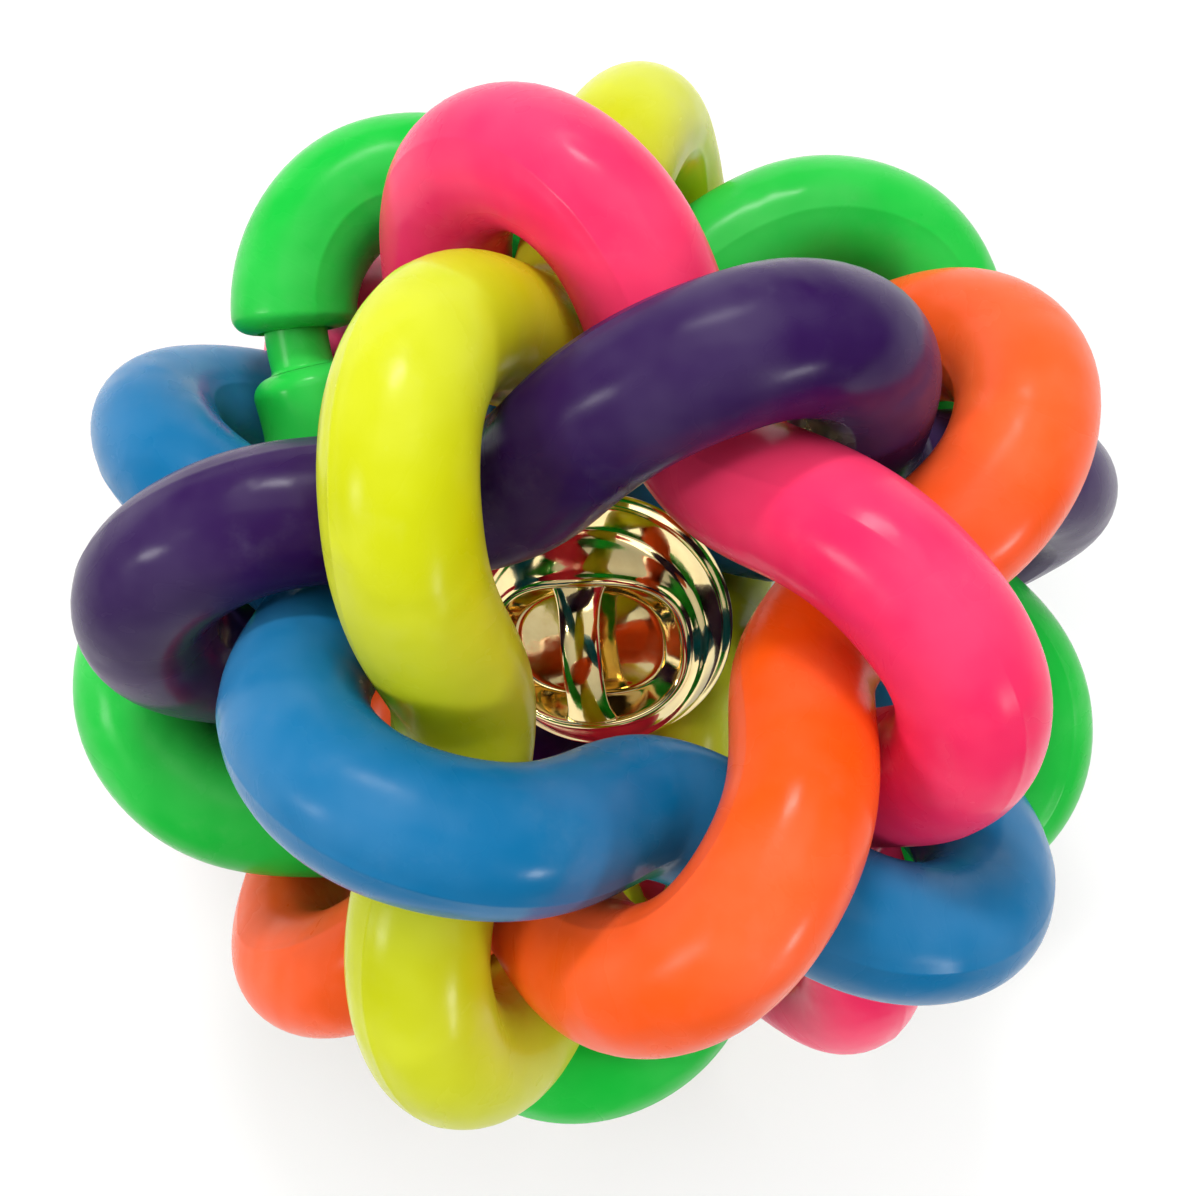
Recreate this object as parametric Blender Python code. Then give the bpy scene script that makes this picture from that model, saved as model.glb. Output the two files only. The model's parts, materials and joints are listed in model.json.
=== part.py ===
"""Woven jingle ball: six rubber strands interlaced into an open ball, with a loose bell inside.

Each strand is a moulded rod bent into a closed ring. The rings lie on six great circles whose
normals are the six five-fold axes of an icosahedron, so every ring crosses the five others twice,
and each one waves out and in five times to pass over and under them in turn. The ball stands with
one pentagonal opening down and one up. Metres, +Z up, origin under the ball's centre.
"""
import math

import bmesh
import bpy
from mathutils import Matrix, Vector

# Driving dimensions of the ball, metres
BALL_DIAMETER = 0.0900       # across the strands' outermost crests
STRAND_DIAMETER = 0.0103
WAVE_SIZES = (0.0070, -0.0004, -0.00025, 0.00015)   # radial waves, at 5, 10, 15 and 20 to the turn
SWAY_SIZES = (0.0007, 0.0001)                       # sideways waves, at 5 and 10 to the turn
WAVES = 5                    # crests on each strand, one over each second crossing

# Closure of a strand: a neck and head on one end, plugged into a socket in the other end
CLOSURE_ANGLE = 235.4        # where the closure is on a ring, degrees from its first crest
NECK_LENGTH = 0.0032         # stretch of neck left bare, as the plug isn't pushed home
NECK_RADIUS = 0.0026
HEAD_RADIUS = 0.0034
HEAD_LENGTH = 0.0034
HEAD_ROUND = 0.0012          # rounding of the head's tip
SHOULDER_RADIUS = 0.0046
SHOULDER_LENGTH = 0.0062
SHOULDER_BLEND = 0.0022      # length over which the shoulder widens to the full strand
SHOULDER_ROUND = (0.0019, 0.0016)   # rounding of the shouldered end, across and along the strand
MOUTH_ROUND = (0.0020, 0.0012)      # rounding of the socket's end
SOCKET_LIP = 0.0030          # thickness of the socket's mouth, which holds the head in
RUNNING_GAP = 0.00035        # between any two touching surfaces

# Bell, metres and degrees; its angles are polar, from the crown's axis
BELL_RADIUS = 0.0114         # outside of the crown
BOWL_RADIUS = 0.0109         # outside of the bowl, and middle of the rolled rim
SHEET = 0.0005
BELL_OFFSET = (0.0010, -0.0021)   # the bell lies a little off the ball's axis
BELL_LEAN = 21.6             # crown's lean from upright, degrees
BELL_LEAN_AZIMUTH = -126.5   # direction that the crown leans to
STRAP_TURN = 136.4           # turn of the strap about the crown's axis
RIM_RADIUS = 0.0011          # of the rolled rim's round section
RIM_TOP_ANGLE = 81.0         # where the dome runs into the rolled rim
RECESS_ACROSS = 50.0         # half-size of the crown's recess across the strap, degrees
RECESS_ALONG = 36.0          # and along the strap
RECESS_SQUARENESS = 2.6      # exponent of the recess's superellipse
FLOOR_HEIGHT = 0.0062        # middle of the recess's floor, above the bell's centre
FLOOR_SHARE = 0.76           # how far out towards the recess's edge its floor reaches
FLOOR_FALL = 0.20            # share of the recess's depth that its crowned floor falls towards the edge
EDGE_HEIGHT = 0.0003         # how proud the recess's edge stands
EDGE_ANGLES = (-1.0, 2.0, 5.0)      # inner corner, outer corner and foot of that edge
STEP_ANGLE = 62.0            # the pressed step round the dome
STEP_WIDTH = 2.0
STEP_HEIGHT = 0.0003
STRAP_HALF_WIDTH = 0.00175
STRAP_FLARE = 0.0014         # extra half-width where the strap meets the recess's edge
FLARE_POWER = 5              # keeps the flare to the strap's ends
STRAP_THICKNESS = 0.0004
STRAP_DEPTH = 0.00005        # how far the strap's face lies under the dome's
STRAP_OVERLAP = 5.0          # how far the strap runs on into the dome
STRAP_CORNER = 0.0001        # chamfer of the strap's edges
SLOT_WIDTH = 0.0018
SLOT_REACH_ANGLE = 52.0      # how far the slots run up the bowl from its lowest point
SLOT_END_RADIUS = 0.0018
FLANGE_ANGLE = 94.0          # where the bowl's wall turns out into its flange
PELLET_RADIUS = 0.00325

# Mesh fineness
ROWS_PER_WAVE = 10           # sections along a strand, for each wave
STRAND_SIDES = 14
ROUND_STEPS = 3              # faces round each rounded edge
BELL_SIDES = 36
FLOOR_STEPS = 4              # rows of the recess's floor
STRAP_STEPS = 16
BOWL_STEPS = 10
SLOT_END_STEPS = 10
PELLET_ROWS = 10
PELLET_SIDES = 20

# Level strand first, then the tilted ones by the azimuth of their ring's normal
STRAND_COLOURS = {
    "green": (0.01, 0.58, 0.06),
    "yellow": (0.72, 0.80, 0.02),
    "blue": (0.01, 0.21, 0.50),
    "orange": (1.00, 0.14, 0.02),
    "pink": (1.00, 0.035, 0.17),
    "purple": (0.075, 0.018, 0.17),
}
GOLD = (0.83, 0.61, 0.24)
STEEL = (0.55, 0.56, 0.58)

STRAND_RADIUS = STRAND_DIAMETER / 2
MEAN_RADIUS = BALL_DIAMETER / 2 - STRAND_RADIUS - sum(WAVE_SIZES)
FIVE_FOLD_TILT = math.atan(2)     # angle between two neighbouring five-fold axes


def clear_scene():
    for item in list(bpy.data.objects):
        bpy.data.objects.remove(item, do_unlink=True)


def material(name, colour, roughness, metallic=0.0):
    made = bpy.data.materials.new(name)
    made.use_nodes = True
    shader = made.node_tree.nodes["Principled BSDF"]
    shader.inputs["Base Color"].default_value = (*colour, 1.0)
    shader.inputs["Roughness"].default_value = roughness
    shader.inputs["Metallic"].default_value = metallic
    return made


def mesh_object(name, shape, finish):
    """A new object from a bmesh, shaded smooth except at sharp corners."""
    bmesh.ops.recalc_face_normals(shape, faces=shape.faces)
    mesh = bpy.data.meshes.new(name)
    shape.to_mesh(mesh)
    shape.free()
    mesh.materials.append(finish)
    mesh.shade_smooth()
    mesh.set_sharp_from_angle(angle=math.radians(40))
    made = bpy.data.objects.new(name, mesh)
    bpy.context.collection.objects.link(made)
    return made


def turned(name, sections, finish):
    """Skin (radius, height) sections, evenly spaced in turn about Z, that start and end on the axis."""
    sides = len(sections)
    turns = [2 * math.pi * side / sides for side in range(sides)]
    shape = bmesh.new()
    rings = []
    for row in zip(*sections):
        if row[0][0] < 1e-7:
            rings.append([shape.verts.new((0, 0, row[0][1]))])
            continue
        rings.append([shape.verts.new((radius * math.cos(turn), radius * math.sin(turn), height))
                      for turn, (radius, height) in zip(turns, row)])
    join_rings(shape, rings)
    return mesh_object(name, shape, finish)


def join_rings(shape, rings):
    """Skin neighbouring rings of vertices; a ring of one vertex is a pole."""
    for first, second in zip(rings, rings[1:]):
        count = max(len(first), len(second))
        for side in range(count):
            nxt = (side + 1) % count
            corners = [first[side % len(first)], first[nxt % len(first)],
                       second[nxt % len(second)], second[side % len(second)]]
            shape.faces.new(list(dict.fromkeys(corners)))


def arc(centre, radius, start, stop, steps):
    """Points (radius, height) on an arc, with angles in degrees from the +radius direction."""
    points = []
    for step in range(steps + 1):
        angle = math.radians(start + (stop - start) * step / steps)
        points.append((centre[0] + radius * math.cos(angle), centre[1] + radius * math.sin(angle)))
    return points


# ---------------------------------------------------------------- strands

def ring_turn(index):
    """Turn from the own frame of ring 0, the level one, or of a tilted ring 1 to 5, to the ball's."""
    normal = Vector((0, 0, 1))
    crest = Vector((0, -1, 0))
    if index > 0:
        azimuth = math.radians(72 * (index - 1))
        normal = Vector((math.sin(FIVE_FOLD_TILT) * math.cos(azimuth),
                         math.sin(FIVE_FOLD_TILT) * math.sin(azimuth), math.cos(FIVE_FOLD_TILT)))
        crest = Vector((-math.sin(azimuth), math.cos(azimuth), 0))
    return Matrix((crest, normal.cross(crest), normal)).transposed()


def centreline(angle):
    """A strand's axis in its ring's own frame: x to the first crest, z along the ring's normal."""
    waves = sum(size * math.cos(WAVES * (i + 1) * angle) for i, size in enumerate(WAVE_SIZES))
    sway = sum(size * math.sin(WAVES * (i + 1) * angle) for i, size in enumerate(SWAY_SIZES))
    radius = MEAN_RADIUS + waves
    return Vector((radius * math.cos(angle), radius * math.sin(angle), sway))


def section(angle):
    """Centre, outward direction and side direction of the section at an angle."""
    step = 1e-4
    centre = centreline(angle)
    along = (centreline(angle + step) - centreline(angle - step)).normalized()
    outward = Vector((math.cos(angle), math.sin(angle), 0))
    outward = (outward - along * outward.dot(along)).normalized()
    return centre, outward, along.cross(outward)


def arc_length_table(steps=3600):
    """Length along the axis from the closure, at even steps of angle once round the ring."""
    start = math.radians(CLOSURE_ANGLE)
    table = [0.0]
    last = centreline(start)
    for step in range(1, steps + 1):
        point = centreline(start + 2 * math.pi * step / steps)
        table.append(table[-1] + (point - last).length)
        last = point
    return table


def angle_at(length, table):
    """The ring angle at a length from the closure; the length may run past either end."""
    turns = math.floor(length / table[-1])
    left = length - turns * table[-1]
    low, high = 0, len(table) - 1
    while high - low > 1:
        middle = (low + high) // 2
        if table[middle] <= left:
            low = middle
        else:
            high = middle
    part = (left - table[low]) / (table[high] - table[low])
    return math.radians(CLOSURE_ANGLE) + 2 * math.pi * (turns + (low + part) / (len(table) - 1))


def length_at(angle, table):
    """The length from the closure to a ring angle past it."""
    place = (angle - math.radians(CLOSURE_ANGLE)) / (2 * math.pi) * (len(table) - 1)
    low = int(place)
    return table[low] + (place - low) * (table[low + 1] - table[low])


def rounded_end(end, radius, size, direction):
    """(length, radius) round the edge of an end face, from the face out to the side."""
    across, along = size
    quarter = [math.radians(90 * step / ROUND_STEPS) for step in range(ROUND_STEPS + 1)]
    return [(end + direction * along * (1 - math.sin(angle)), radius - across * (1 - math.cos(angle)))
            for angle in reversed(quarter)]


def strand_profile(table):
    """(length from the closure, radius) from the head's tip, round the ring, to the socket's floor."""
    half = NECK_LENGTH / 2
    full = table[-1]
    mouth = full - half
    head_back = -half - SOCKET_LIP - RUNNING_GAP
    head_tip = head_back - HEAD_LENGTH
    bore = NECK_RADIUS + RUNNING_GAP
    pocket = HEAD_RADIUS + RUNNING_GAP

    profile = [(head_tip, 0.0)]
    profile += rounded_end(head_tip, HEAD_RADIUS, (HEAD_ROUND, HEAD_ROUND), 1)
    profile += [(head_back, HEAD_RADIUS), (head_back, NECK_RADIUS), (0.0, NECK_RADIUS), (half, NECK_RADIUS)]
    profile += rounded_end(half, SHOULDER_RADIUS, SHOULDER_ROUND, 1)
    shoulder_end = half + SHOULDER_LENGTH
    profile += [(shoulder_end, SHOULDER_RADIUS), (shoulder_end + SHOULDER_BLEND, STRAND_RADIUS)]

    rows = WAVES * ROWS_PER_WAVE
    row_angle = 2 * math.pi / rows
    first_row = math.ceil(math.radians(CLOSURE_ANGLE) / row_angle)
    clear = full / rows / 4      # least distance from a rounded end to the next row
    for row in range(first_row, first_row + rows):
        length = length_at(row * row_angle, table)
        if profile[-1][0] + clear < length < mouth - MOUTH_ROUND[1] - clear:
            profile.append((length, STRAND_RADIUS))

    profile += rounded_end(mouth, STRAND_RADIUS, MOUTH_ROUND, -1)[::-1]
    profile += [(mouth, bore), (mouth - SOCKET_LIP, bore), (mouth - SOCKET_LIP, pocket)]
    floor = full + head_tip - RUNNING_GAP
    profile += [(floor, pocket), (floor, 0.0)]
    return profile


def strand(index, colour_name, table, profile):
    """One strand, as a skin over the round sections of its profile along its axis."""
    turn = ring_turn(index)
    shape = bmesh.new()
    rings = []
    for length, radius in profile:
        centre, outward, side = section(angle_at(length, table))
        if radius == 0.0:
            rings.append([shape.verts.new(turn @ centre)])
            continue
        ring = []
        for k in range(STRAND_SIDES):
            angle = 2 * math.pi * k / STRAND_SIDES
            ring.append(shape.verts.new(turn @ (centre + radius * (math.cos(angle) * outward
                                                                   + math.sin(angle) * side))))
        rings.append(ring)
    join_rings(shape, rings)
    finish = material("rubber_" + colour_name, STRAND_COLOURS[colour_name], 0.32)
    return mesh_object("strand_" + colour_name, shape, finish)


# ---------------------------------------------------------------- bell

def polar(radius, angle):
    """A (radius from the axis, height) point at a polar angle in degrees from the crown's top."""
    return radius * math.sin(math.radians(angle)), radius * math.cos(math.radians(angle))


def polar_arc(radius, start, stop, steps):
    return [polar(radius, start + (stop - start) * step / steps) for step in range(steps + 1)]


def recess_edge(turn):
    """Polar angle of the recess's edge, in a direction turned from across the strap."""
    across = abs(math.cos(turn)) / RECESS_ACROSS
    along = abs(math.sin(turn)) / RECESS_ALONG
    return (across ** RECESS_SQUARENESS + along ** RECESS_SQUARENESS) ** (-1 / RECESS_SQUARENESS)


def rim_end():
    """Lowest angle on the rolled rim's section, where it closes in on the bowl."""
    return math.degrees(math.acos(RUNNING_GAP / RIM_RADIUS))


def rim_arc(radius, start, stop, steps):
    """Points round the rolled rim's section, with angles in degrees from straight out."""
    return arc((BOWL_RADIUS, 0.0), radius, start, stop, steps)


def crown_section(turn):
    """Section of the crown in a direction: recess, raised edge, dome, step, rolled rim, and back inside."""
    upper = BELL_RADIUS - STEP_HEIGHT
    lower_start = STEP_ANGLE + STEP_WIDTH
    edge = recess_edge(turn)
    edge_in, edge_out, edge_foot = (edge + angle for angle in EDGE_ANGLES)
    edge_radius, edge_height = polar(upper, edge)
    fall = FLOOR_FALL * (edge_height - FLOOR_HEIGHT)
    shares = [step / FLOOR_STEPS for step in range(FLOOR_STEPS + 1)]
    floor = [(FLOOR_SHARE * edge_radius * share, FLOOR_HEIGHT - fall * share ** 2) for share in shares]

    outline = floor + [polar(upper + EDGE_HEIGHT, edge_in), polar(upper + EDGE_HEIGHT, edge_out)]
    outline += polar_arc(upper, edge_foot, STEP_ANGLE, 2)
    outline += polar_arc(BELL_RADIUS, lower_start, RIM_TOP_ANGLE, 3)
    outline += rim_arc(RIM_RADIUS, 75, -rim_end(), 6)
    lip_radius, lip_height = outline[-1]
    outline += [(lip_radius, lip_height + SHEET)]
    outline += rim_arc(RIM_RADIUS - SHEET, -40, 60, 3)
    outline += polar_arc(BELL_RADIUS - SHEET, RIM_TOP_ANGLE + 3, lower_start, 3)
    outline += polar_arc(upper - SHEET, STEP_ANGLE, edge_foot, 2)
    outline += [(floor[-1][0] + SHEET / 2, floor[-1][1] - SHEET)]
    outline += [(radius, height - SHEET) for radius, height in floor[-2::-1]]
    return outline


def bowl_outline():
    """Section of the bowl, with the flange that the crown's rim holds."""
    flange_under = -RIM_RADIUS * math.sin(math.radians(rim_end())) + SHEET + RUNNING_GAP
    flange_top = flange_under + SHEET
    flange_edge = BOWL_RADIUS + RUNNING_GAP
    inner = BOWL_RADIUS - SHEET
    outline = polar_arc(BOWL_RADIUS, 180, FLANGE_ANGLE, BOWL_STEPS)
    outline += [(BOWL_RADIUS, flange_under), (flange_edge, flange_under), (flange_edge, flange_top)]
    outline += [(inner, flange_top)]
    outline += polar_arc(inner, FLANGE_ANGLE, 180, BOWL_STEPS)
    return outline


def strap(finish):
    """The hanger strap: a bridge over the recess, widening into its edge at both ends."""
    reach = RECESS_ALONG + STRAP_OVERLAP
    outer = BELL_RADIUS - STEP_HEIGHT - STRAP_DEPTH
    inner = outer - STRAP_THICKNESS
    shape = bmesh.new()
    rings = []
    for step in range(STRAP_STEPS + 1):
        share = 2 * step / STRAP_STEPS - 1
        angle = math.radians(reach * share)
        half = STRAP_HALF_WIDTH + STRAP_FLARE * abs(share) ** FLARE_POWER
        face = half - STRAP_CORNER
        upper_side = [(half, outer - STRAP_CORNER), (face, outer), (0.0, outer), (-face, outer),
                      (-half, outer - STRAP_CORNER)]
        under_side = [(-half, inner + STRAP_CORNER), (-face, inner), (0.0, inner), (face, inner),
                      (half, inner + STRAP_CORNER)]
        ring = []
        for x, radius in upper_side + under_side:
            height = math.sqrt((radius * math.cos(angle)) ** 2 - x ** 2)
            ring.append(shape.verts.new((x, radius * math.sin(angle), height)))
        rings.append(ring)
    join_rings(shape, rings)
    shape.faces.new(rings[0])
    shape.faces.new(rings[-1])
    return mesh_object("strap", shape, finish)


def slot_cutter(turn, finish):
    """A slot with a round hole at each end, as a prism through the bottom of the bowl."""
    half_length = BOWL_RADIUS * math.sin(math.radians(SLOT_REACH_ANGLE))
    neck = math.degrees(math.asin(SLOT_WIDTH / 2 / SLOT_END_RADIUS))
    outline = arc((half_length, 0.0), SLOT_END_RADIUS, neck - 180, 180 - neck, SLOT_END_STEPS)
    outline += arc((-half_length, 0.0), SLOT_END_RADIUS, neck, 360 - neck, SLOT_END_STEPS)
    below = -1.1 * BOWL_RADIUS
    inside = -0.4 * BOWL_RADIUS
    shape = bmesh.new()
    ends = [[shape.verts.new((x, y, height)) for x, y in outline] for height in (below, inside)]
    join_rings(shape, ends)
    shape.faces.new(ends[0])
    shape.faces.new(ends[1])
    made = mesh_object("slot_cutter", shape, finish)
    made.rotation_euler = (0, 0, turn)
    return made


def combine(target, tool, operation):
    """Join the tool to the target, or cut it away, and leave the tool itself out of renders."""
    tool.hide_render = True
    tool.display_type = "WIRE"
    modifier = target.modifiers.new(operation.lower() + "_" + tool.name, "BOOLEAN")
    modifier.operation = operation
    modifier.solver = "EXACT"
    modifier.object = tool


def bell_clearance(centre, axis_points, crown_axis):
    """Gap between the bell, at a place, and the nearest strand."""
    nearest = math.inf
    for point in axis_points:
        apart = point - centre
        along = apart.dot(crown_axis)
        across = math.sqrt(max(apart.length_squared - along ** 2, 0.0))
        to_dome = apart.length - BELL_RADIUS
        to_rim = math.hypot(across - BOWL_RADIUS, along) - RIM_RADIUS
        nearest = min(nearest, to_dome, to_rim)
    return nearest - STRAND_RADIUS


def resting_height(axis_points, crown_axis):
    """Height of the bell's centre from the ball's where it comes to rest on the strands below."""
    step = 0.00005               # metres lowered between two tries
    place = Vector((*BELL_OFFSET, 0.0))
    while bell_clearance(place, axis_points, crown_axis) > RUNNING_GAP:
        place.z -= step
    return place.z + step


def pivot(name, parent=None):
    """An empty for a joint's axis to run through."""
    made = bpy.data.objects.new(name, None)
    bpy.context.collection.objects.link(made)
    made.parent = parent
    return made


def bell(crown_pose, centre):
    """The bell's two shells and its pellet, on the empties that they move about."""
    slide = pivot("bell_slide")
    slide.location = centre
    gold = material("gold_plate", GOLD, 0.10, 1.0)
    turns = [2 * math.pi * side / BELL_SIDES for side in range(BELL_SIDES)]
    shell = turned("bell_crown", [crown_section(turn) for turn in turns], gold)
    bowl = turned("bell_bowl", [bowl_outline()] * BELL_SIDES, gold)
    hanger = strap(gold)
    cutters = [slot_cutter(turn, gold) for turn in (0.0, math.pi / 2)]
    for piece in (shell, bowl, hanger, *cutters):
        piece.rotation_euler = (crown_pose @ piece.rotation_euler.to_matrix()).to_euler()
        piece.parent = slide
    combine(shell, hanger, "UNION")
    for cutter in cutters:
        combine(bowl, cutter, "DIFFERENCE")

    steel = material("steel", STEEL, 0.25, 1.0)
    ball = turned("bell_pellet", [polar_arc(PELLET_RADIUS, 0, 180, PELLET_ROWS)] * PELLET_SIDES, steel)
    ball.location.z = -(BOWL_RADIUS - SHEET - PELLET_RADIUS - RUNNING_GAP)
    ball.parent = pivot("pellet_swing", slide)


def main():
    clear_scene()
    table = arc_length_table()
    profile = strand_profile(table)
    strands = [strand(index, name, table, profile) for index, name in enumerate(STRAND_COLOURS)]
    centre_height = -min(vertex.co.z for made in strands for vertex in made.data.vertices)
    for made in strands:
        made.location.z = centre_height

    axis_points = [ring_turn(index) @ centreline(math.radians(angle))
                   for index in range(len(strands)) for angle in range(0, 360, 2)]
    crown_pose = (Matrix.Rotation(math.radians(BELL_LEAN_AZIMUTH), 3, "Z")
                  @ Matrix.Rotation(math.radians(BELL_LEAN), 3, "Y")
                  @ Matrix.Rotation(math.radians(STRAP_TURN), 3, "Z"))
    rest = resting_height(axis_points, crown_pose @ Vector((0, 0, 1)))
    bell(crown_pose, (*BELL_OFFSET, centre_height + rest))


main()
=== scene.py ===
"""Looks of the woven jingle ball: glossy rubber strands with their closures, and a gold bell.

The strands, the bell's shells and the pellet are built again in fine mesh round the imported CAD
model, in its frame: metres, +Z up, origin under the ball's centre.
"""
import json
import math

import bmesh
import bpy
import numpy as np
from mathutils import Matrix, Vector


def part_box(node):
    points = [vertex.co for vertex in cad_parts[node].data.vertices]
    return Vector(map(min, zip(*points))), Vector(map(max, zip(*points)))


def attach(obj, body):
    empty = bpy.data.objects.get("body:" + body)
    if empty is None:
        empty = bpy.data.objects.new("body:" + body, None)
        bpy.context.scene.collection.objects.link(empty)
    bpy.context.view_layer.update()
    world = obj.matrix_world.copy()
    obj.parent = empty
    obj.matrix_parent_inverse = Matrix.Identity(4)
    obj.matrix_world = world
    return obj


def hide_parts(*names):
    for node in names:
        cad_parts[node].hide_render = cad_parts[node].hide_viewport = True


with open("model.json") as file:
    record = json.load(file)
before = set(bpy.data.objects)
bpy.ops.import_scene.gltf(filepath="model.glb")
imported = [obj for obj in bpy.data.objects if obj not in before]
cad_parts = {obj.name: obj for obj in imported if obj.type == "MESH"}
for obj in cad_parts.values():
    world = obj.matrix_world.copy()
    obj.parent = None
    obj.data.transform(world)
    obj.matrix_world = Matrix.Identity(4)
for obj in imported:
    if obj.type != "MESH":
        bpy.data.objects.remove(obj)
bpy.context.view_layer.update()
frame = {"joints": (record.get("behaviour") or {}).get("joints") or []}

# Ball, metres. The strand's radius and its waves were fitted to the photo, then rounded.
BALL_DIAMETER = 0.0900
STRAND_RADIUS = 0.00515
WAVE_SIZES = (0.0070, -0.0004, -0.00025, 0.00015)   # radial waves, at 5, 10, 15 and 20 to the turn
SWAY_SIZES = (0.0007, 0.0001)                       # sideways waves, at 5 and 10 to the turn
WAVES = 5
MEAN_RADIUS = BALL_DIAMETER / 2 - STRAND_RADIUS - sum(WAVE_SIZES)
FIVE_FOLD_TILT = math.atan(2)
ROWS = 360                   # sections along a strand
SIDES = 44                   # evenly spaced points round a section, before the parting lines' own
TABLE_STEPS = 7200

# Closure of a strand
CLOSURE_ANGLE = math.radians(235.4)
NECK_LENGTH = 0.0032
NECK_RADIUS = 0.0026
HEAD_RADIUS = 0.0034
HEAD_LENGTH = 0.0034
HEAD_ROUND = 0.0014
SHOULDER_RADIUS = 0.0046
SHOULDER_LENGTH = 0.0062
SHOULDER_BLEND = 0.0024      # length over which the shoulder widens to the full strand
SHOULDER_ROUND = (0.0019, 0.0016)   # the shouldered end's rounding, across and along the strand
MOUTH_ROUND = (0.0020, 0.0012)      # the socket end's rounding
SOCKET_LIP = 0.0030
RUNNING_GAP = 0.00035
NECK_FILLET = 0.0004
EDGE = 0.0003                # size of the small edges' rounding

# Moulded detail
SEAM_HEIGHT = 0.00008        # the mould's parting line stands proud by this much at most
SEAM_HALF_WIDTH = 0.00032
# Places across a parting line, in half widths, and its height there
SEAM_SECTION = ((-1.0, 0.0), (-0.45, 0.7), (0.0, 1.0), (0.45, 0.7), (1.0, 0.0))
SEAM_TURNS = -0.4            # turns of the parting lines about a strand, along its length
SEAM_FADE = 0.0002           # the lines fade in over this growth of the strand's radius
SEAM_START = (0.4, 1.9, 1.56, 2.7, 0.9, 2.3)      # where they start on each strand, radians
SEAM_CLEARANCE = 1.4         # half widths of a line with none of the section's own points
SEAM_WANDER = 0.25           # radians that a line strays
SEAM_MEAN = 0.60             # a line's mean height as a share of its most
SEAM_CHANGE = 0.40           # and how much that share changes along it
SWELL = 0.004                # uneven thickness of the moulding, as a share of its radius
WANDER = ((3.1, 1.0), (5.3, 2.1), (8.7, 0.7))     # rates and phases of the waves in a slow wander
HEIGHT_SEED = 4.0            # added to a strand's number, so that its wanders differ
SWELL_SEED = 1.5

# Mesh steps of a strand's closure
HEAD_STEPS = 6
NECK_ROWS = 11
FILLET_STEPS = 3
FILLET_ARC = (290, 350)      # the part of a full circle that the neck's fillet takes, degrees
ROUND_STEPS = 10
SHOULDER_ROWS = 9

# Bell; its angles are polar, from the crown's axis
BELL_RADIUS = 0.0114         # outside of the crown
BOWL_RADIUS = 0.0109         # outside of the bowl, and middle of the rolled rim
SHEET = 0.0005
BELL_LEAN = math.radians(21.6)
BELL_LEAN_AZIMUTH = math.radians(-126.5)
STRAP_TURN = math.radians(136.4)
BEAD_RADIUS = 0.0011
RECESS_ACROSS = 50.0
RECESS_ALONG = 36.0
RECESS_SQUARENESS = 2.6
FLOOR_HEIGHT = 0.0062
FLOOR_SHARE = 0.76
FLOOR_FALL = 0.20
RIM_HEIGHT = 0.0003
STEP_ANGLE = 62.0
STEP_HEIGHT = 0.0003
STRAP_HALF_WIDTH = 0.00175
STRAP_FLARE = 0.0014
STRAP_THICKNESS = 0.0004
STRAP_CROWN = 0.00030        # how much the strap's edges drop below its middle
SLOT_WIDTH = 0.0018
SLOT_REACH = math.radians(52.0)
SLOT_END_RADIUS = 0.0018
BELL_SIDES = 144
BELL_SPACING = 0.00015       # of the crown's sections' points
EASING = 5                   # smoothing passes over the crown's section
FLOOR_POINTS = 17
RIM_FOOT = -1.6              # the raised rim starts here, degrees from the recess's edge,
RIM_FOOT_SHARE = 0.6         # at this share of its height,
RIM_TOP_END = 2.0            # is level to here,
RIM_END = 5.0                # and is back on the dome here
PLATE_START = 6.0
STEP_HALF = 1.0              # half the angle that the pressed step takes, outside
STEP_INSIDE = 2.0            # where the lower dome's inside ends, from the step
DOME_END = 80.0
LINING_START = 84.0
BEAD_START = 78.0            # angles on the rolled rim's own circle, outside and inside
LINING_ARC = (-40.0, 60.0)
WALL_SHARE = 0.6             # of the sheet: how far the wall's inside stands off the floor's edge
PLATE_STEPS = 5
DOME_STEPS = 8
BEAD_STEPS = 18
STRAP_OVERLAP = 5.0          # degrees that the strap runs past the recess's edge
STRAP_SQUARENESS = (0.4, 0.7)        # of its section, across and up
STRAP_FLARE_POWER = 5
STRAP_CROWN_POWER = 4
STRAP_STEPS = 72
STRAP_SIDES = 40
CUTTER_PAST = 0.001          # how far a slot's cutter reaches below the bowl
CUTTER_TOP = 0.4             # its top's depth under the bell's middle, as a share of the bowl
SLOT_END_STEPS = 32
BOWL_EDGE_ANGLE = 94.0
BOWL_STEPS = 48
PELLET_RADIUS = 0.00325
EQUATOR_HEIGHT = 0.00002     # the line round the pellet where its two half dies met
EQUATOR_WIDTH = 0.05
DENTS = 23                   # small flats knocked on the pellet
DENT_REACH = 0.16            # largest half-width of a flat, radians
DENT_SIZES = (0.6, 0.4, 2.3)         # mean and change of the flats' sizes, and their rate
DENT_FACING = 0.5            # a flat only touches points that face it by more than this cosine
DENT_FLOOR = 0.1             # keeps the flat's distance finite elsewhere
PELLET_STEPS = 90
PELLET_SIDES = 128
GOLDEN_ANGLE = math.pi * (3 - math.sqrt(5))

FLOOR_DROP = 0.0002          # the round strands reach a little lower than the CAD's flat facets
FLOOR_HALF = 1.6
SHARP_ANGLE = math.radians(50)       # folds sharper than this stay crisp

# Light
ZENITH = 0.78                # brightness of the white surround straight up
HORIZON = 0.29               # and level with the floor or below
LIGHTS = {                   # place, size across and along, watts
    "key": ((-0.05, 0.50, 0.90), (1.00, 0.70), 3.7),
    "upper": ((-0.12, 0.50, 0.45), (0.16, 0.06), 1.70),
    "side": ((-0.55, -0.10, 0.42), (0.07, 0.20), 1.35),
    "rear": ((0.50, -0.35, 0.40), (0.10, 0.08), 1.05),
}

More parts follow.
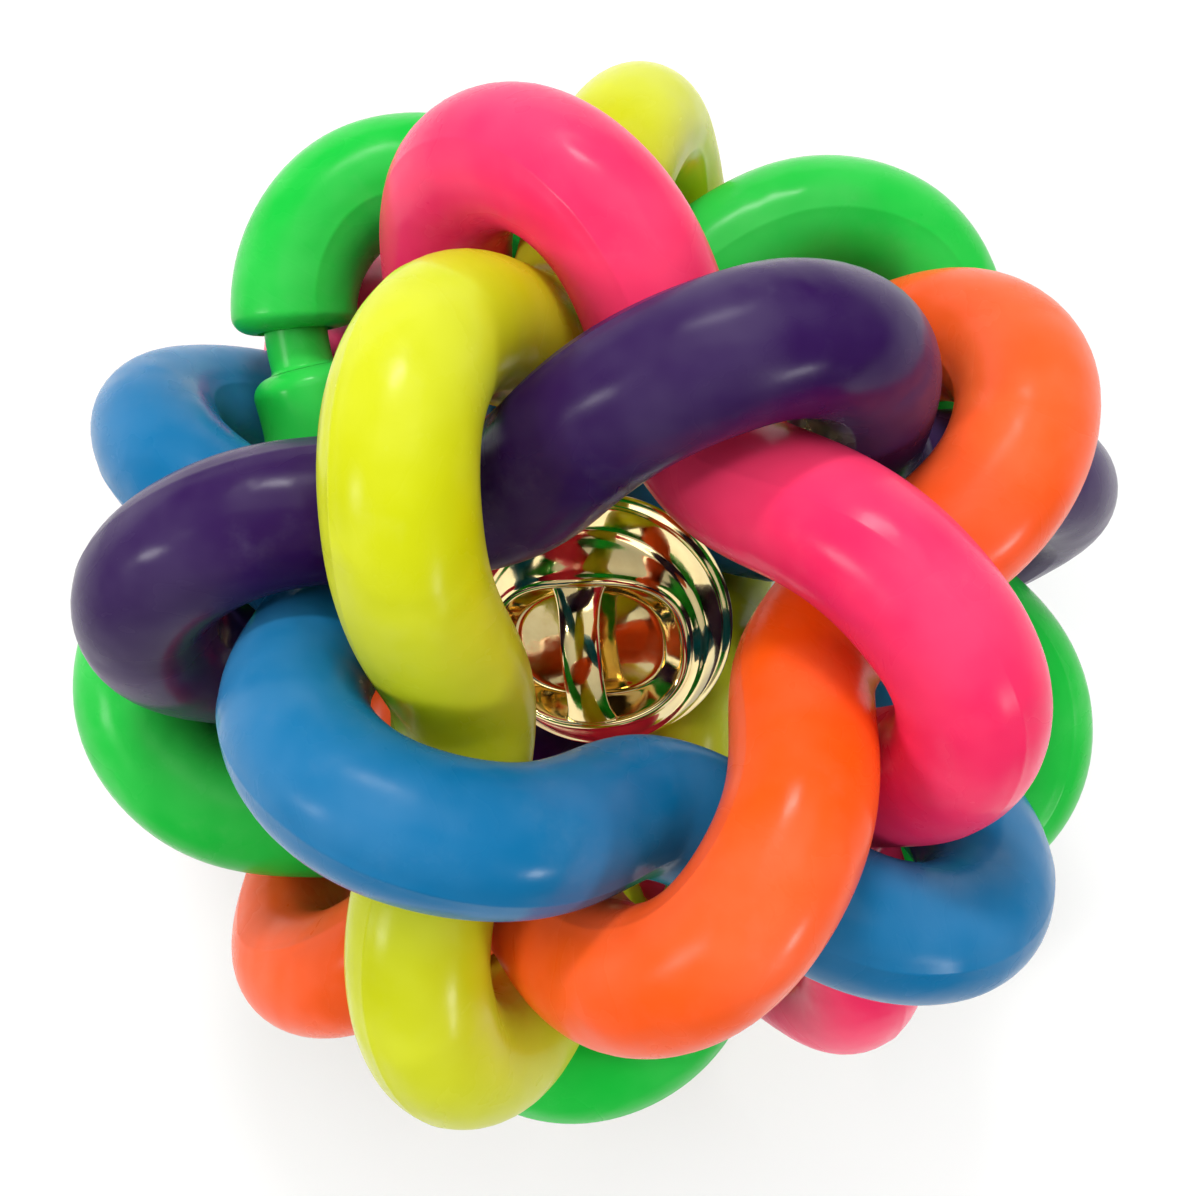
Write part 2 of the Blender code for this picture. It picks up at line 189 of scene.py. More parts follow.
# Camera, fitted to the photo: place from the ball's centre, turn in radians, lens and sensor in mm
CAMERA_PLACE = (-0.01294, 0.00877, 0.13954)
CAMERA_TURN = (-0.0676, -0.0776, 0.0921)
CAMERA_LENS = 50.476
CAMERA_SENSOR = 36.0
CAMERA_CLIP = (0.01, 10.0)

# Level strand first, then the tilted ones by the azimuth of their ring's normal
STRAND_COLOURS = {
    "green": (0.005, 0.550, 0.045),
    "yellow": (0.620, 0.660, 0.002),
    "blue": (0.000, 0.158, 0.368),
    "orange": (0.965, 0.100, 0.005),
    "pink": (0.980, 0.022, 0.126),
    "purple": (0.024, 0.001, 0.070),
}
GOLD = (0.93, 0.76, 0.38)
TARNISH = (0.84, 0.64, 0.30)
STEEL = (0.56, 0.57, 0.58)
DULL_STEEL = (0.42, 0.41, 0.40)
FLOOR_GREYS = (0.90, 0.93)

# Finishes. Noise scales are per metre. A range is noise from and to, then the values they give.
# A bump is its strength and its depth in metres.
CLOUDS = 95                  # soft patches in the rubber's pigment
CLOUD_RANGE = (0.30, 0.70, 0.0, 1.0)
CLOUD_SHADES = (0.90, 1.03)
FILM = 160                   # a dusty bloom on the rubber
FILM_RANGE = (0.54, 0.78, 0.0, 0.10)
FILM_SHADE = 1.20
SMEARS = 70
RUBBER_ROUGHNESS = (0.35, 0.70, 0.22, 0.34)
WAVES_NOISE, WAVES_BUMP = 120, (0.60, 0.00060)
RIPPLE_NOISE, RIPPLE_BUMP = 330, (0.40, 0.00010)
GRAIN_NOISE, GRAIN_BUMP = 3200, (0.25, 0.00001)
GLOW = 0.10                  # share of light that passes through the rubber's skin
GLOW_DEPTH = 0.0015
GLOW_RADIUS = (0.3, 0.7)     # even part, and part that follows the colour
RUBBER_SHEEN = 0.13          # Principled specular level
RUBBER_IOR = 1.5
GOLD_CLOUDS, GOLD_CLOUD_RANGE = 330, (0.35, 0.75, 0.0, 1.0)
GOLD_WEAR, GOLD_ROUGHNESS = 900, (0.35, 0.75, 0.05, 0.15)
GOLD_DENTS, GOLD_DENT_BUMP = 420, (0.30, 0.00012)
GOLD_LINES, GOLD_LINE_BUMP = 2600, (0.12, 0.00001)
LINE_STRETCH = (1.0, 1.0, 9.0)
STEEL_CLOUDS, STEEL_CLOUD_RANGE = 700, (0.35, 0.7, 0.0, 1.0)
STEEL_WEAR, STEEL_ROUGHNESS = 1500, (0.3, 0.7, 0.14, 0.34)
STEEL_GRAIN, STEEL_GRAIN_BUMP = 2600, (0.2, 0.00002)
FLOOR_CLOUDS, FLOOR_CLOUD_RANGE = 6, (0.3, 0.7, 0.0, 1.0)
FLOOR_WEAR, FLOOR_ROUGHNESS = 40, (0.3, 0.7, 0.55, 0.65)


# ---------------------------------------------------------------- mesh making

def mesh_piece(name, vertices, faces, finish, body=None, stands_for=None):
    """A smooth shaded object of the shared frame; with a body, it rides on that CAD body."""
    mesh = bpy.data.meshes.new(name)
    mesh.from_pydata([tuple(v) for v in vertices], [], faces)
    shape = bmesh.new()
    shape.from_mesh(mesh)
    bmesh.ops.recalc_face_normals(shape, faces=shape.faces)
    shape.to_mesh(mesh)
    shape.free()
    mesh.materials.append(finish)
    mesh.shade_smooth()
    mesh.set_sharp_from_angle(angle=SHARP_ANGLE)
    made = bpy.data.objects.new(name, mesh)
    bpy.context.scene.collection.objects.link(made)
    if body:
        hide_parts(stands_for)
        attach(made, body)
    return made


def grid_faces(rows, sides, first=0, closed=False):
    """Quads between rows of a ring each; closed joins the last row to the first."""
    faces = []
    for row in range(rows if closed else rows - 1):
        low = first + row * sides
        high = first + (row + 1) % rows * sides
        for side in range(sides):
            nxt = (side + 1) % sides
            faces.append((low + side, low + nxt, high + nxt, high + side))
    return faces


def pole_faces(pole, first, sides, flip):
    """Triangles from a pole to a ring of points."""
    faces = [(pole, first + side, first + (side + 1) % sides) for side in range(sides)]
    return [face[::-1] for face in faces] if flip else faces


def arc(centre, size, start, stop, steps):
    """Points on an ellipse's arc, with angles in degrees from the first direction."""
    angles = np.radians(np.linspace(start, stop, steps + 1))
    return [(centre[0] + size[0] * math.cos(a), centre[1] + size[1] * math.sin(a))
            for a in angles]


# ---------------------------------------------------------------- strands

def ring_axes(index):
    """Rows of a ring's axes: to the first crest, across, and its normal."""
    if index == 0:
        return np.array(((0, -1, 0), (1, 0, 0), (0, 0, 1)), float)
    azimuth = math.radians(72 * (index - 1))
    normal = Vector((math.sin(FIVE_FOLD_TILT) * math.cos(azimuth),
                     math.sin(FIVE_FOLD_TILT) * math.sin(azimuth), math.cos(FIVE_FOLD_TILT)))
    crest = Vector((-math.sin(azimuth), math.cos(azimuth), 0))
    return np.array((crest, normal.cross(crest), normal), float)


def centreline(angle):
    """Points of a strand's axis in its ring's own axes."""
    radius = MEAN_RADIUS + sum(s * np.cos(WAVES * (i + 1) * angle)
                               for i, s in enumerate(WAVE_SIZES))
    sway = sum(s * np.sin(WAVES * (i + 1) * angle) for i, s in enumerate(SWAY_SIZES))
    return np.stack((radius * np.cos(angle), radius * np.sin(angle), sway), axis=-1)


def unit(vectors):
    return vectors / np.linalg.norm(vectors, axis=-1, keepdims=True)


def sections(angle):
    """Centres, outward directions and side directions of the sections at an array of angles."""
    step = 1e-4
    along = unit(centreline(angle + step) - centreline(angle - step))
    outward = np.stack((np.cos(angle), np.sin(angle), np.zeros_like(angle)), axis=-1)
    outward = unit(outward - along * np.sum(outward * along, axis=-1, keepdims=True))
    return centreline(angle), outward, np.cross(along, outward)


def length_table():
    """Lengths along the axis from the closure, at even steps of angle once round the ring."""
    points = centreline(CLOSURE_ANGLE + np.linspace(0, 2 * math.pi, TABLE_STEPS + 1))
    return np.concatenate(([0.0], np.cumsum(np.linalg.norm(np.diff(points, axis=0), axis=1))))


def strand_profile(full):
    """Length from the closure and radius, from the head's tip to the far end's socket floor."""
    half = NECK_LENGTH / 2
    mouth = full - half
    head_back = -half - SOCKET_LIP - RUNNING_GAP
    head_tip = head_back - HEAD_LENGTH
    floor = full + head_tip - RUNNING_GAP
    bore = NECK_RADIUS + RUNNING_GAP
    pocket = HEAD_RADIUS + RUNNING_GAP
    spacing = full / ROWS

    profile = [(head_tip, 0.0)]
    profile += arc((head_tip + HEAD_ROUND, HEAD_RADIUS - HEAD_ROUND), (HEAD_ROUND, HEAD_ROUND),
                   180, 90, HEAD_STEPS)
    profile += [(head_back - EDGE, HEAD_RADIUS), (head_back, HEAD_RADIUS - EDGE),
                (head_back, NECK_RADIUS + EDGE)]
    neck = np.linspace(head_back + EDGE, half - NECK_FILLET, NECK_ROWS)
    profile += [(length, NECK_RADIUS) for length in neck]
    profile += arc((half - NECK_FILLET, NECK_RADIUS + NECK_FILLET), (NECK_FILLET, NECK_FILLET),
                   *FILLET_ARC, FILLET_STEPS)

    across, along = SHOULDER_ROUND
    flat_start = half + along
    flat_end = half + SHOULDER_LENGTH
    profile += arc((flat_start, SHOULDER_RADIUS - across), (along, across), 180, 90,
                   ROUND_STEPS)
    flat = np.linspace(flat_start, flat_end, SHOULDER_ROWS)[1:]
    profile += [(length, SHOULDER_RADIUS) for length in flat]
    growth = STRAND_RADIUS - SHOULDER_RADIUS
    for share in np.linspace(0, 1, SHOULDER_ROWS)[1:]:
        profile.append((flat_end + SHOULDER_BLEND * share,
                        SHOULDER_RADIUS + growth * (3 * share ** 2 - 2 * share ** 3)))

    across, along = MOUTH_ROUND
    first_free = profile[-1][0] + spacing / 2
    last_free = mouth - along - spacing / 2
    profile += [(length, STRAND_RADIUS) for length in np.linspace(first_free, last_free, ROWS)]
    profile += arc((mouth - along, STRAND_RADIUS - across), (along, across), 90, 0, ROUND_STEPS)
    profile += [(mouth, bore + EDGE), (mouth - EDGE, bore), (mouth - SOCKET_LIP, bore)]
    profile += [(mouth - SOCKET_LIP, pocket), (floor, pocket), (floor, 0.0)]
    return np.array(profile)


def seam_columns():
    """Angles round a section and the parting lines' share of their height at each."""
    width = SEAM_HALF_WIDTH / STRAND_RADIUS
    angles = [(2 * math.pi * side / SIDES, 0.0) for side in range(SIDES)]
    for seam in (0.0, math.pi):
        angles = [(a, h) for a, h in angles
                  if abs(math.remainder(a - seam, 2 * math.pi)) > SEAM_CLEARANCE * width]
        angles += [(seam + width * place, height) for place, height in SEAM_SECTION]
    return np.array(sorted(((a % (2 * math.pi)), h) for a, h in angles))


def waver(x, seed):
    """A slow smooth wander from -1 to 1."""
    return sum(np.sin(x * rate + phase * seed) for rate, phase in WANDER) / len(WANDER)


def strand(index, colour, table, centre_height):
    """One strand: a skin over its profile, with two parting lines that wander round it."""
    full = table[-1]
    profile = strand_profile(full)
    lengths, radii = profile[:, 0], profile[:, 1]
    columns = seam_columns()
    turn = np.linspace(0, 2 * math.pi, TABLE_STEPS + 1)
    angles = (CLOSURE_ANGLE + np.interp(lengths % full, table, turn)
              + 2 * math.pi * np.floor(lengths / full))
    centres, outward, side = sections(angles)
    place = lengths / full * 2 * math.pi
    twist = SEAM_START[index] + SEAM_TURNS * place + SEAM_WANDER * waver(place, index)
    outside = np.clip((radii - SHOULDER_RADIUS) / SEAM_FADE, 0, 1) * (lengths > 0)
    change = waver(2 * place, index + HEIGHT_SEED)
    ridge = SEAM_HEIGHT * (SEAM_MEAN + SEAM_CHANGE * change) * outside
    about = columns[None, :, 0] + twist[:, None]
    radius = radii[:, None] + ridge[:, None] * columns[None, :, 1]
    radius = radius * (1 + SWELL * waver(place, index + SWELL_SEED) * outside)[:, None]
    direction = (np.cos(about)[..., None] * outward[:, None, :]
                 + np.sin(about)[..., None] * side[:, None, :])
    points = centres[:, None, :] + radius[..., None] * direction
    points = points @ ring_axes(index) + np.array((0, 0, centre_height))

    count = len(columns)
    body_rows = len(profile) - 2
    vertices = np.concatenate((points[1:-1].reshape(-1, 3), points[:1, 0], points[-1:, 0]))
    faces = grid_faces(body_rows, count)
    faces += pole_faces(body_rows * count, 0, count, True)
    faces += pole_faces(body_rows * count + 1, (body_rows - 1) * count, count, False)
    finish = rubber("rubber_" + colour, STRAND_COLOURS[colour], index)
    name = "strand_" + colour
    return mesh_piece("rubber_" + name, vertices, faces, finish, "cage",
                      name)


# ---------------------------------------------------------------- bell

def polar(radius, angle):
    """Distance from the bell's axis and height, at a polar angle in degrees."""
    return radius * math.sin(math.radians(angle)), radius * math.cos(math.radians(angle))


def polar_arc(radius, start, stop, steps):
    return [polar(radius, start + (stop - start) * step / steps) for step in range(steps + 1)]


def lathe(outline, sides):
    """Vertices and faces of an outline from pole to pole, turned about Z."""
    turns = np.linspace(0, 2 * math.pi, sides, endpoint=False)
    inner = np.array(outline)[1:-1]
    rings = np.stack((inner[:, :1] * np.cos(turns), inner[:, :1] * np.sin(turns),
                      np.repeat(inner[:, 1:], sides, axis=1)), axis=-1)
    poles = [(0, 0, outline[0][1]), (0, 0, outline[-1][1])]
    vertices = np.concatenate((rings.reshape(-1, 3), poles))
    faces = grid_faces(len(inner), sides)
    faces += pole_faces(len(inner) * sides, 0, sides, True)
    faces += pole_faces(len(inner) * sides + 1, (len(inner) - 1) * sides, sides, False)
    return vertices, faces


def recess_edge(turn):
    """Polar angle of the recess's edge, in a direction turned from across the strap."""
    across = abs(math.cos(turn)) / RECESS_ACROSS
    along = abs(math.sin(turn)) / RECESS_ALONG
    return (across ** RECESS_SQUARENESS + along ** RECESS_SQUARENESS) ** (-1 / RECESS_SQUARENESS)


def crown_section(turn):
    """Outer and inner corner points of the crown's section in a direction.

    The outer ones run from the axis to the rolled rim's edge, and the inner ones run back.
    """
    upper = BELL_RADIUS - STEP_HEIGHT
    edge = recess_edge(turn)
    edge_radius, edge_height = polar(upper, edge)
    fall = FLOOR_FALL * (edge_height - FLOOR_HEIGHT)
    floor = [(FLOOR_SHARE * edge_radius * s, FLOOR_HEIGHT - fall * s * s)
             for s in np.linspace(0, 1, FLOOR_POINTS)]
    lip_end = math.degrees(math.acos(RUNNING_GAP / BEAD_RADIUS))

    outer = floor + [polar(upper + RIM_FOOT_SHARE * RIM_HEIGHT, edge + RIM_FOOT),
                     polar(upper + RIM_HEIGHT, edge)]
    outer += [polar(upper + RIM_HEIGHT, edge + RIM_TOP_END), polar(upper, edge + RIM_END)]
    outer += polar_arc(upper, edge + PLATE_START, STEP_ANGLE - STEP_HALF, PLATE_STEPS)
    outer += polar_arc(BELL_RADIUS, STEP_ANGLE + STEP_HALF, DOME_END, DOME_STEPS)
    outer += arc((BOWL_RADIUS, 0.0), (BEAD_RADIUS, BEAD_RADIUS), BEAD_START, -lip_end, BEAD_STEPS)
    lining = BEAD_RADIUS - SHEET
    inner = [(outer[-1][0], outer[-1][1] + SHEET)]
    inner += arc((BOWL_RADIUS, 0.0), (lining, lining), *LINING_ARC, DOME_STEPS)
    inner += polar_arc(BELL_RADIUS - SHEET, LINING_START, STEP_ANGLE + STEP_INSIDE, DOME_STEPS)
    inner += polar_arc(upper - SHEET, STEP_ANGLE, edge + PLATE_START, PLATE_STEPS)
    inner += [(floor[-1][0] + WALL_SHARE * SHEET, floor[-1][1] - SHEET)]
    inner += [(radius, height - SHEET) for radius, height in floor[-2::-1]]
    return np.array(outer), np.array(inner)


def eased(points, counts):
    """Corner points with a fixed number of steps between them, and the corners rounded."""
    steps = []
    for i, n in enumerate(counts):
        shares = np.linspace(0, 1, n, endpoint=False)[:, None]
        steps.append(points[i] + (points[i + 1] - points[i]) * shares)
    line = np.concatenate(steps + [points[-1:]])
    for _ in range(EASING):
        line[1:-1] = 0.25 * line[:-2] + 0.5 * line[1:-1] + 0.25 * line[2:]
    return line


def step_counts(points):
    """Even steps for each span between corner points."""
    spans = np.linalg.norm(np.diff(points, axis=0), axis=1)
    return np.maximum(1, np.round(spans / BELL_SPACING)).astype(int)


def bell_crown(pose, centre, finish):
    """The pressed crown with its recess and rolled rim, joined to its hanger strap."""
    turns = np.linspace(0, 2 * math.pi, BELL_SIDES, endpoint=False)
    counts = [step_counts(points) for points in crown_section(math.pi / 4)]
    lines = []
    for turn in turns:
        sides = zip(crown_section(turn), counts)
        lines.append(np.concatenate([eased(points, n) for points, n in sides]))
    lines = np.array(lines)
    rings = np.stack((lines[..., 0] * np.cos(turns)[:, None],
                      lines[..., 0] * np.sin(turns)[:, None], lines[..., 1]), axis=-1)
    rings = rings.transpose(1, 0, 2)
    inner_rings = rings[1:-1]
    count = len(inner_rings)
    vertices = np.concatenate((inner_rings.reshape(-1, 3), rings[:1, 0], rings[-1:, 0]))
    faces = grid_faces(count, BELL_SIDES)
    faces += pole_faces(count * BELL_SIDES, 0, BELL_SIDES, True)
    faces += pole_faces(count * BELL_SIDES + 1, (count - 1) * BELL_SIDES, BELL_SIDES, False)
    crown = mesh_piece("crown_shell", vertices, faces, finish)
    hanger = strap(finish)
    union = crown.modifiers.new("strap", "BOOLEAN")
    union.operation = "UNION"
    union.solver = "EXACT"
    union.object = hanger
    return settle(crown, [hanger], "gold_bell_crown", pose, centre, "bell_crown")


def settle(target, tools, name, pose, centre, stands_for):
    """Apply the target's modifiers, drop the tools and put the piece in its place on the bell."""
    graph = bpy.context.evaluated_depsgraph_get()
    mesh = bpy.data.meshes.new_from_object(target.evaluated_get(graph))
    mesh.name = name
    turn = Matrix.Translation(centre) @ pose.to_4x4()
    mesh.transform(turn)
    made = bpy.data.objects.new(name, mesh)
    bpy.context.scene.collection.objects.link(made)
    for item in (target, *tools):
        bpy.data.objects.remove(item, do_unlink=True)
    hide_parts(stands_for)
    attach(made, "bell")
    return made


def strap(finish):
    """The hanger strap: a crowned bridge over the recess, widening into its edge at both ends."""
    reach = math.radians(RECESS_ALONG + STRAP_OVERLAP)
    middle = BELL_RADIUS - STEP_HEIGHT - STRAP_THICKNESS / 2
    around = np.linspace(0, 2 * math.pi, STRAP_SIDES, endpoint=False)
    across_power, lift_power = STRAP_SQUARENESS
    across = np.sign(np.cos(around)) * np.abs(np.cos(around)) ** across_power
    lift = np.sign(np.sin(around)) * np.abs(np.sin(around)) ** lift_power
    vertices = []
    for share in np.linspace(-1, 1, STRAP_STEPS + 1):
        half = STRAP_HALF_WIDTH + STRAP_FLARE * abs(share) ** STRAP_FLARE_POWER
        x = half * across
        drop = STRAP_CROWN * (1 - share ** STRAP_CROWN_POWER) * across ** 2
        radius = middle + STRAP_THICKNESS / 2 * lift - drop
        height = np.sqrt((radius * math.cos(share * reach)) ** 2 - x ** 2)
        vertices.append(np.stack((x, radius * math.sin(share * reach), height), axis=1))
    vertices = np.concatenate(vertices)
    faces = grid_faces(STRAP_STEPS + 1, STRAP_SIDES)
    last = STRAP_STEPS * STRAP_SIDES
    faces += [tuple(range(STRAP_SIDES))[::-1], tuple(last + k for k in range(STRAP_SIDES))]
    return mesh_piece("strap", vertices, faces, finish)


def slot_cutter(turn, finish):
    """A prism through the bowl's bottom: a slot widened at both ends.

    Its top is too low for the ends' outer sides, which are cut off flat, as in the CAD model.
    """
    half_length = BOWL_RADIUS * math.sin(SLOT_REACH)
    neck = math.degrees(math.asin(SLOT_WIDTH / 2 / SLOT_END_RADIUS))
    size = (SLOT_END_RADIUS, SLOT_END_RADIUS)
    outline = arc((half_length, 0.0), size, neck - 180, 180 - neck, SLOT_END_STEPS)
    outline += arc((-half_length, 0.0), size, neck, 360 - neck, SLOT_END_STEPS)
    count = len(outline)
    heights = (-BOWL_RADIUS - CUTTER_PAST, -CUTTER_TOP * BOWL_RADIUS)
    vertices = [(x, y, z) for z in heights for x, y in outline]
    faces = grid_faces(2, count) + [tuple(range(count))[::-1], tuple(range(count, 2 * count))]
    made = mesh_piece("slot_cutter", vertices, faces, finish)
    made.rotation_euler = (0, 0, turn)
    return made


def bell_bowl(pose, centre, finish):
    """The lower dome with its flange in the rolled rim and its two crossed slots."""
    flange_under = -math.sqrt(BEAD_RADIUS ** 2 - RUNNING_GAP ** 2) + SHEET + RUNNING_GAP
    inner = BOWL_RADIUS - SHEET
    outline = polar_arc(BOWL_RADIUS, 180, BOWL_EDGE_ANGLE, BOWL_STEPS)
    outline += [(BOWL_RADIUS, flange_under), (BOWL_RADIUS + RUNNING_GAP, flange_under)]
    outline += [(BOWL_RADIUS + RUNNING_GAP, flange_under + SHEET),
                (inner, flange_under + SHEET)]
    outline += polar_arc(inner, BOWL_EDGE_ANGLE, 180, BOWL_STEPS)
    outline[0] = (0.0, -BOWL_RADIUS)
    outline[-1] = (0.0, -inner)
    vertices, faces = lathe(outline, BELL_SIDES)
    bowl = mesh_piece("bowl_shell", vertices, faces, finish)
    cutters = [slot_cutter(turn, finish) for turn in (0.0, math.pi / 2)]
    for cutter in cutters:
        cut = bowl.modifiers.new("slot", "BOOLEAN")
        cut.operation = "DIFFERENCE"
        cut.solver = "EXACT"
        cut.object = cutter
    return settle(bowl, cutters, "gold_bell_bowl", pose, centre, "bell_bowl")


def pellet(centre, finish):
    """The steel ball at the bottom of the bell, with an equator line and small knocked flats."""
    drop = BOWL_RADIUS - SHEET - PELLET_RADIUS - RUNNING_GAP
    ball = polar_arc(PELLET_RADIUS - EQUATOR_HEIGHT, 0, 180, PELLET_STEPS)
    vertices, faces = lathe(ball, PELLET_SIDES)
    direction = unit(vertices)
    band = np.exp(-(direction[:, 2] / EQUATOR_WIDTH) ** 2)
    sizes = np.linalg.norm(vertices, axis=1) + EQUATOR_HEIGHT * band
    mean, change, rate = DENT_SIZES
    for k in range(DENTS):
        height = 1 - 2 * (k + 0.5) / DENTS
        azimuth = k * GOLDEN_ANGLE
        level = math.sqrt(1 - height ** 2)
        target = np.array((level * math.cos(azimuth), level * math.sin(azimuth), height))
        reach = DENT_REACH * (mean + change * math.sin(rate * k))
        facing = direction @ target
        flat = PELLET_RADIUS * (1 - reach ** 2 / 2) / np.maximum(facing, DENT_FLOOR)
        sizes = np.minimum(sizes, np.where(facing > DENT_FACING, flat, sizes))
    vertices = direction * sizes[:, None] + np.array((centre.x, centre.y, centre.z - drop))
    return mesh_piece("steel_pellet", vertices, faces, finish, "pellet",
                      "bell_pellet")


# ---------------------------------------------------------------- materials

class Nodes:
    """Shorthand for building a material's node tree."""

    def __init__(self, name):
        self.material = bpy.data.materials.new(name)
        self.material.use_nodes = True
        self.tree = self.material.node_tree
        self.shader = self.tree.nodes["Principled BSDF"]

    def add(self, kind, links=None, **values):
        node = self.tree.nodes.new(kind)
        for key, value in values.items():
            setattr(node, key, value)
        for socket, source in (links or {}).items():
            if isinstance(source, bpy.types.NodeSocket):
                self.tree.links.new(source, node.inputs[socket])
            else:
                node.inputs[socket].default_value = source
        return node

    def place(self):
        return self.add("ShaderNodeTexCoord").outputs["Object"]

    def noise(self, scale, detail=2.0, roughness=0.5, distortion=0.0, offset=0.0):
        """Procedural noise in the piece's own coordinates, in cycles a metre."""
        place = self.add("ShaderNodeMapping",
                         {"Vector": self.place(), "Location": (offset, offset, offset)})
        links = {"Vector": place.outputs["Vector"], "Scale": scale, "Detail": detail,
                 "Roughness": roughness, "Distortion": distortion}
        return self.add("ShaderNodeTexNoise", links).outputs["Fac"]

    def ramp(self, value, low, high, to_low, to_high):
        """Map a value from low..high to to_low..to_high, clamped and eased."""
        links = {"Value": value, "From Min": low, "From Max": high,
                 "To Min": to_low, "To Max": to_high}
        node = self.add("ShaderNodeMapRange", links)
        node.interpolation_type = "SMOOTHSTEP"
        return node.outputs["Result"]

    def mix(self, factor, first, second):
        """A colour between two; inputs 6 and 7 and output 2 are the node's colour sockets."""
        node = self.add("ShaderNodeMix", data_type="RGBA")
        for socket, source in ((node.inputs["Factor"], factor), (node.inputs[6], first),
                               (node.inputs[7], second)):
            if isinstance(source, bpy.types.NodeSocket):
                self.tree.links.new(source, socket)
            else:
                socket.default_value = source
        return node.outputs[2]

    def bump(self, height, strength, distance, under=None):
        links = {"Height": height, "Strength": strength, "Distance": distance}
        if under is not None:
            links["Normal"] = under
        return self.add("ShaderNodeBump", links).outputs["Normal"]

    def link(self, source, name):
        self.tree.links.new(source, self.shader.inputs[name])

    def set(self, **values):
        for name, value in values.items():
            self.shader.inputs[name.replace("_", " ")].default_value = value


def shade(colour, amount):
    """The same colour lighter, above 1, or darker."""
    if amount <= 1:
        return (*(c * amount for c in colour), 1.0)
    return (*(1 - (1 - c) * (2 - amount) for c in colour), 1.0)


def rubber(name, colour, seed):
    """Glossy soft moulded rubber: cloudy pigment, a faint ripple, scuffs and a dusty bloom."""
    m = Nodes(name)
    cloud = m.noise(CLOUDS, detail=3, offset=seed * 0.37)
    dark, light = CLOUD_SHADES
    tint = m.mix(m.ramp(cloud, *CLOUD_RANGE), shade(colour, dark), shade(colour, light))
    film = m.noise(FILM, detail=5, roughness=0.65, offset=seed * 0.53 + 2)
    tint = m.mix(m.ramp(film, *FILM_RANGE), tint, shade(colour, FILM_SHADE))
    m.link(tint, "Base Color")

    smear = m.noise(SMEARS, detail=4, roughness=0.6, distortion=0.6, offset=seed * 0.71 + 5)
    m.link(m.ramp(smear, *RUBBER_ROUGHNESS), "Roughness")

    waves = m.noise(WAVES_NOISE, detail=1, distortion=0.8, offset=seed * 1.3)
    bumps = m.bump(waves, *WAVES_BUMP)
    bumps = m.bump(m.noise(RIPPLE_NOISE, detail=2, offset=seed), *RIPPLE_BUMP, bumps)
    bumps = m.bump(m.noise(GRAIN_NOISE, detail=2, offset=seed), *GRAIN_BUMP, bumps)
    m.link(bumps, "Normal")
    m.set(Subsurface_Weight=GLOW, Subsurface_Scale=GLOW_DEPTH,
          Specular_IOR_Level=RUBBER_SHEEN, IOR=RUBBER_IOR)
    even, tinted = GLOW_RADIUS
    m.shader.inputs["Subsurface Radius"].default_value = tuple(even + tinted * c for c in colour)
    return m.material


def gold_plate():
    """Bright plated brass: fine polishing lines, small dents and a little tarnish."""
    m = Nodes("gold_plate")
    cloud = m.noise(GOLD_CLOUDS, detail=4, roughness=0.6)
    tint = m.mix(m.ramp(cloud, *GOLD_CLOUD_RANGE), (*GOLD, 1.0), (*TARNISH, 1.0))
    m.link(tint, "Base Color")
    wear = m.noise(GOLD_WEAR, detail=4, roughness=0.7, offset=3.0)
    m.link(m.ramp(wear, *GOLD_ROUGHNESS), "Roughness")
    dents = m.bump(m.noise(GOLD_DENTS, detail=1, offset=7.0), *GOLD_DENT_BUMP)
    lines = m.add("ShaderNodeMapping", {"Vector": m.place(), "Scale": LINE_STRETCH})
    fine = m.add("ShaderNodeTexNoise", {"Vector": lines.outputs["Vector"], "Scale": GOLD_LINES,
                                        "Detail": 2.0})
    m.link(m.bump(fine.outputs["Fac"], *GOLD_LINE_BUMP, dents), "Normal")
    m.set(Metallic=1.0)
    return m.material


def steel():
    """Worn steel with dull patches."""
    m = Nodes("pellet_steel")
    cloud = m.noise(STEEL_CLOUDS, detail=4)
    tint = m.mix(m.ramp(cloud, *STEEL_CLOUD_RANGE), (*STEEL, 1.0), (*DULL_STEEL, 1.0))
    m.link(tint, "Base Color")
    wear = m.noise(STEEL_WEAR, detail=3, offset=4.0)
    m.link(m.ramp(wear, *STEEL_ROUGHNESS), "Roughness")
    m.link(m.bump(m.noise(STEEL_GRAIN, detail=3), *STEEL_GRAIN_BUMP), "Normal")
    m.set(Metallic=1.0)
    return m.material


def floor_finish():
    """A plain matt pale surface."""
    m = Nodes("floor")
    dark, light = ((grey, grey, grey, 1.0) for grey in FLOOR_GREYS)
    tint = m.mix(m.ramp(m.noise(FLOOR_CLOUDS, detail=3), *FLOOR_CLOUD_RANGE), dark, light)
    m.link(tint, "Base Color")
    wear = m.noise(FLOOR_WEAR, detail=4, offset=2.0)
    m.link(m.ramp(wear, *FLOOR_ROUGHNESS), "Roughness")
    return m.material


# ---------------------------------------------------------------- stage

def camera(centre):
    """Looks down on the ball from the photo's viewing angle."""
    data = bpy.data.cameras.new("camera")
    data.sensor_fit = "HORIZONTAL"
    data.sensor_width = CAMERA_SENSOR
    data.lens = CAMERA_LENS
    data.clip_start, data.clip_end = CAMERA_CLIP
    made = bpy.data.objects.new("camera", data)
    made.location = centre + Vector(CAMERA_PLACE)
    made.rotation_euler = CAMERA_TURN
    bpy.context.scene.collection.objects.link(made)
    bpy.context.scene.camera = made


